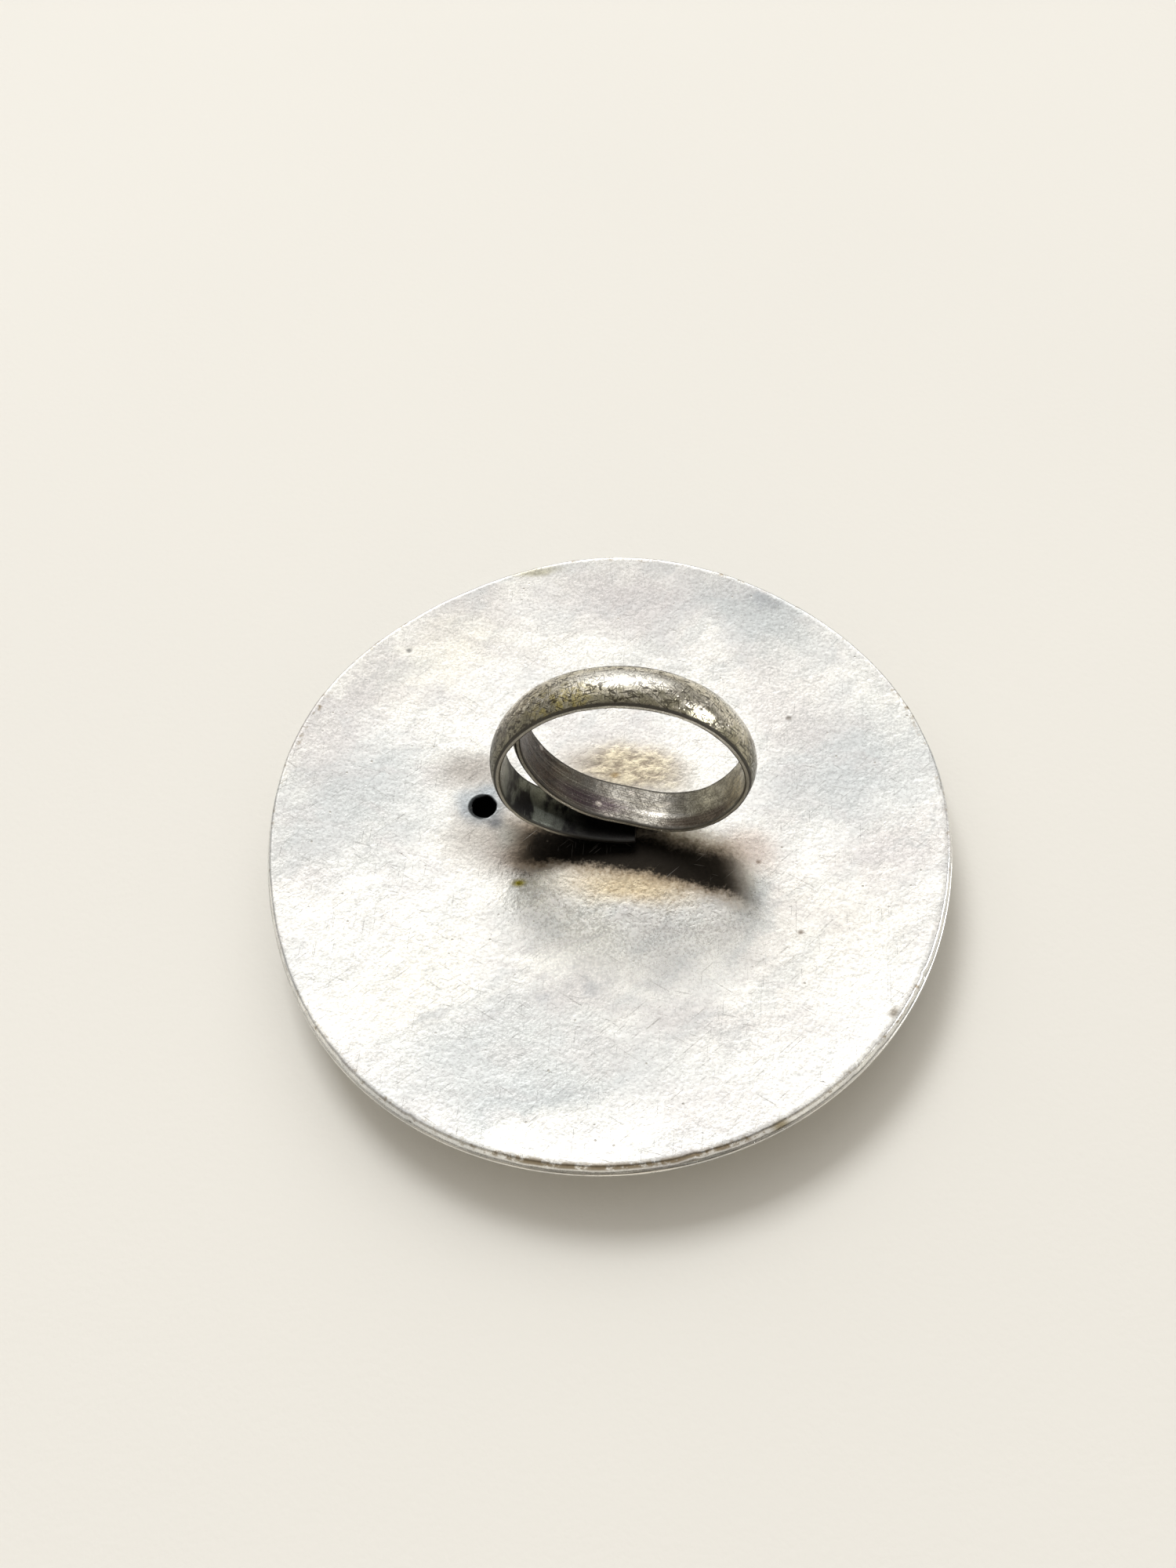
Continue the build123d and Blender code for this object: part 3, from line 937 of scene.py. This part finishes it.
def band_wear(s, at, along, outside, foot, crown_highlight):
    """Pits and scratches: fainter inside, faintest near the foot, and fewer under the painted crown
    highlight.
    """
    pits = s.fit(s.cells(s.scaled(at, (1.0, 1.5, 1.0)), 0.62), 0.34, 0.20)
    crowd = s.plus(s.noise(at, 1.0, 3.0, 0.65), s.fit(along, 3.0, 10.0, 0.0, 0.07))
    pits = s.times(pits, s.fit(crowd, 0.43, 0.52))
    scored = s.scratches(at, [(8, 0.085, 1.3, 0.61), (-35, 0.085, 1.0, 0.63), (60, 0.085, 0.9, 0.63),
                              (100, 0.09, 0.8, 0.64)])
    shown = s.most(outside, s.fit(foot, 0.0, 1.0, 0.45, 0.12))
    # fewer pits and scratches under the painted crown highlight
    under_highlight = s.fit(s.times(crown_highlight, outside), 0.0, 1.0, 1.0, 0.7)
    return s.times(s.most(pits, scored), shown, under_highlight)


def band_silver():
    """Worn, tarnished silver: scratched outside, streaked brown and grey inside, with painted highlights on
    its crown, its edge faces and the inside of its bottom, and painted shade along its corners, on the dome's
    half towards the wearer's edge and at the foot's end.
    """
    s = Shader("band_silver", Metallic=1.0)
    strip = s.add("ShaderNodeAttribute", attribute_name="strip").outputs["Vector"]
    along, across, side = s.split(strip)
    at = s.scaled(strip, (1.0, 1.0, 20.0))
    outside = s.fit(side, 0.80, 0.98)
    foot = s.fit(along, 13.0, 17.0)
    mottle = s.noise(at, 1.3, 5.0, 0.68, 0.5)
    fine = s.noise(at, 0.14, 3.0, 0.6)
    # grows down the left leg and towards the wearer's edge
    low_left = s.fit(s.plus(along, s.times(across, 2.6)), 6.5, 12.5)
    # where the painted highlight on the crown lies
    crown_highlight = s.spot(strip, (-0.3, -0.35), (5.0, 1.15), 0, 0.4)
    outer = band_outside(s, at, strip, mottle, low_left, crown_highlight)
    color = s.mix(outside, band_inside(s, at, strip, mottle, foot), outer)

    from_middle = s.calc("ABSOLUTE", across)
    # painted highlight: a bright line along the strip's edge faces
    edge_highlight = s.times(s.fit(side, 0.20, 0.34), s.fit(side, 0.80, 0.66), s.fit(along, 24.0, 20.5))
    color = s.tinted(color, EDGE_HIGHLIGHT, edge_highlight, s.fit(mottle, 0.70, 0.45, 0.6, 1.0))
    # painted shade: dark lines along the strip's corners, beside the bright edge faces
    outer_corner = s.times(s.fit(side, 0.62, 0.80), s.fit(from_middle, 1.60, 1.74))
    inner_corner = s.times(s.fit(side, 0.32, 0.18), s.fit(from_middle, 1.56, 1.72))
    darkening = s.most(outer_corner, s.times(inner_corner, 0.8))
    color = s.tinted(color, CORNER_SHADE, darkening, 0.9)
    # painted shadow: the foot's end turns black down by the plate
    color = s.mix(s.fit(along, 22.5, 25.5, 0.0, 0.92), color, FOOT_SHADOW)
    worn = band_wear(s, at, along, outside, foot, crown_highlight)
    color = s.tinted(color, MARK_DIRT, worn, 0.88)
    color = s.shaded(color, s.fit(fine, 0.35, 0.65, 0.76, 1.12))

    # the darkening down the left, kept off the edge faces, is also less metallic and rougher
    murk = s.times(low_left, outside, s.rest_of(edge_highlight))
    s.put(s.surface.inputs["Metallic"], s.rest_of(s.times(s.most(murk, darkening), 0.65)))
    roughness = s.plus(s.fit(mottle, 0.3, 0.7, 0.13, 0.25), s.fit(outside, 0.0, 1.0, 0.04, 0.0),
                       s.times(s.most(worn, darkening), 0.25), s.times(foot, s.rest_of(outside), 0.14),
                       s.times(murk, 0.12))
    return s.finish(color, roughness, s.bump(worn, -0.022, s.bump(fine, 0.006)))


# ---------------------------------------------------------------- studio

# The room that the silver mirrors: towards, degrees to the end of its core and to its edge, strength
ROOM_LEVEL = 0.375
GLOWS = [
    ((0.0, 0.0, 1.0), 20, 100, 0.17),        # ceiling
    ((-0.12, 0.75, 0.66), 12, 48, 0.52),     # window wall
    ((-0.06, 0.73, 0.68), 6, 18, 2.2),       # its bright pane
    ((0.36, 0.72, 0.59), 5, 20, 1.4),        # a second pane to the right
]
WATCHER = ((0.05, -0.58, 0.81), 12, 36, 0.85)      # the share of light kept off by whoever looks in
FRONT_GLOW = ((0.0, -0.92, 0.39), 8, 34, 0.38)
ROOM_WHITE = (1.0, 0.975, 0.93)
CLOTH_WHITE = (1.0, 0.90, 0.74)
CLOTH_SIDE = ((0.0, -0.97, 0.24), 15, 95)          # where the room turns warm

# Area lights in metres and watts: place, size, power, colour, and the kind of reflection that misses it
LIGHTS = {
    "back_window": ((-0.25, 0.95, 1.25), (0.60, 0.45), 10.8, (0.98, 0.99, 1.0), "glossy"),
    "overhead": ((0.0, 0.05, 0.90), (1.2, 1.2), 0.15, (1.0, 0.82, 0.58), "glossy"),
    "right_window": ((0.54, -0.02, 0.25), (0.30, 0.22), 1.5, (1.0, 1.0, 1.0), "diffuse"),
}

CAMERA_PLACE = (-0.0009, -0.05308, 0.10453)
CAMERA_ELEVATION = 60.028      # degrees that it looks down
CAMERA_ROLL = 6.406            # degrees clockwise
CAMERA_LENS = 32.4


def floor():
    """A plain pale cloth-coloured floor."""
    s = Shader("floor_cloth", Metallic=0.0, Specular_IOR_Level=0.1)
    at = s.place()
    tone = s.mix(s.noise(at, 60.0, 2.0, 0.5), (0.86, 0.845, 0.80), (0.83, 0.815, 0.775))
    bpy.ops.mesh.primitive_plane_add(size=6.0)
    obj = bpy.context.object
    obj.name = "floor"
    obj.data.materials.append(s.finish(tone, 0.95, s.bump(s.noise(at, 0.5, 2.0, 0.5), 0.02)))


class World:
    """The world's nodes, as a sum of soft lobes."""

    def __init__(self, name):
        self.world = bpy.data.worlds.new(name)
        self.world.use_nodes = True
        self.tree = self.world.node_tree
        self.background = self.tree.nodes["Background"]
        self.direction = self.tree.nodes.new("ShaderNodeTexCoord").outputs["Generated"]

    def lobe(self, towards, near, far):
        """1 within the near angle of a direction, falling to 0 at the far angle."""
        dot = self.tree.nodes.new("ShaderNodeVectorMath")
        dot.operation = "DOT_PRODUCT"
        self.tree.links.new(self.direction, dot.inputs[0])
        dot.inputs[1].default_value = Vector(towards).normalized()
        ramp = self.tree.nodes.new("ShaderNodeMapRange")
        ramp.interpolation_type = "SMOOTHSTEP"
        self.tree.links.new(dot.outputs["Value"], ramp.inputs["Value"])
        ramp.inputs["From Min"].default_value = math.cos(math.radians(far))
        ramp.inputs["From Max"].default_value = math.cos(math.radians(near))
        return ramp.outputs[0]

    def calc(self, operation, a, b):
        node = self.tree.nodes.new("ShaderNodeMath")
        node.operation = operation
        for socket, value in zip(node.inputs, (a, b)):
            if isinstance(value, bpy.types.NodeSocket):
                self.tree.links.new(value, socket)
            else:
                socket.default_value = value
        return node.outputs[0]

    def glow(self, towards, near, far, strength):
        return self.calc("MULTIPLY", self.lobe(towards, near, far), strength)


def studio_world():
    """A white room: a brighter window behind, and the dark of whoever looks through the band."""
    w = World("studio")
    bpy.context.scene.world = w.world
    strength = ROOM_LEVEL
    for glow in GLOWS:
        strength = w.calc("ADD", strength, w.glow(*glow))
    strength = w.calc("MULTIPLY", strength, w.calc("SUBTRACT", 1.0, w.glow(*WATCHER)))
    strength = w.calc("ADD", strength, w.glow(*FRONT_GLOW))
    w.tree.links.new(strength, w.background.inputs["Strength"])
    tint = w.tree.nodes.new("ShaderNodeMix")
    tint.data_type = "RGBA"
    w.tree.links.new(w.lobe(*CLOTH_SIDE), tint.inputs["Factor"])
    tint.inputs[6].default_value = (*ROOM_WHITE, 1.0)
    tint.inputs[7].default_value = (*CLOTH_WHITE, 1.0)
    w.tree.links.new(tint.outputs[2], w.background.inputs["Color"])


def area_light(name, place, size, power, color, misses):
    """A rectangular light that points at the origin."""
    data = bpy.data.lights.new(name, "AREA")
    data.shape = "RECTANGLE"
    data.size, data.size_y = size
    data.energy = power
    data.color = color
    lamp = bpy.data.objects.new(name, data)
    bpy.context.scene.collection.objects.link(lamp)
    lamp.location = place
    lamp.rotation_euler = (-Vector(place)).to_track_quat("-Z", "Y").to_euler()
    lamp.visible_diffuse = misses != "diffuse"
    lamp.visible_glossy = misses != "glossy"


def camera():
    """Looks down at the back of the ring, rolled a little as the photo is."""
    data = bpy.data.cameras.new("camera")
    data.sensor_width = 36.0
    data.lens = CAMERA_LENS
    data.clip_start = 0.005
    obj = bpy.data.objects.new("camera", data)
    bpy.context.scene.collection.objects.link(obj)
    tilt = Matrix.Rotation(math.radians(90 - CAMERA_ELEVATION), 4, "X")
    roll = Matrix.Rotation(math.radians(-CAMERA_ROLL), 4, "Z")
    obj.matrix_world = Matrix.Translation(CAMERA_PLACE) @ tilt @ roll
    bpy.context.scene.camera = obj


camera()
floor()
studio_world()
for light_name, light in LIGHTS.items():
    area_light(light_name, *light)
bpy.context.scene.view_settings.view_transform = "Standard"

back_plate()
front_shell()
solder_seam()
band()
foot_solder()
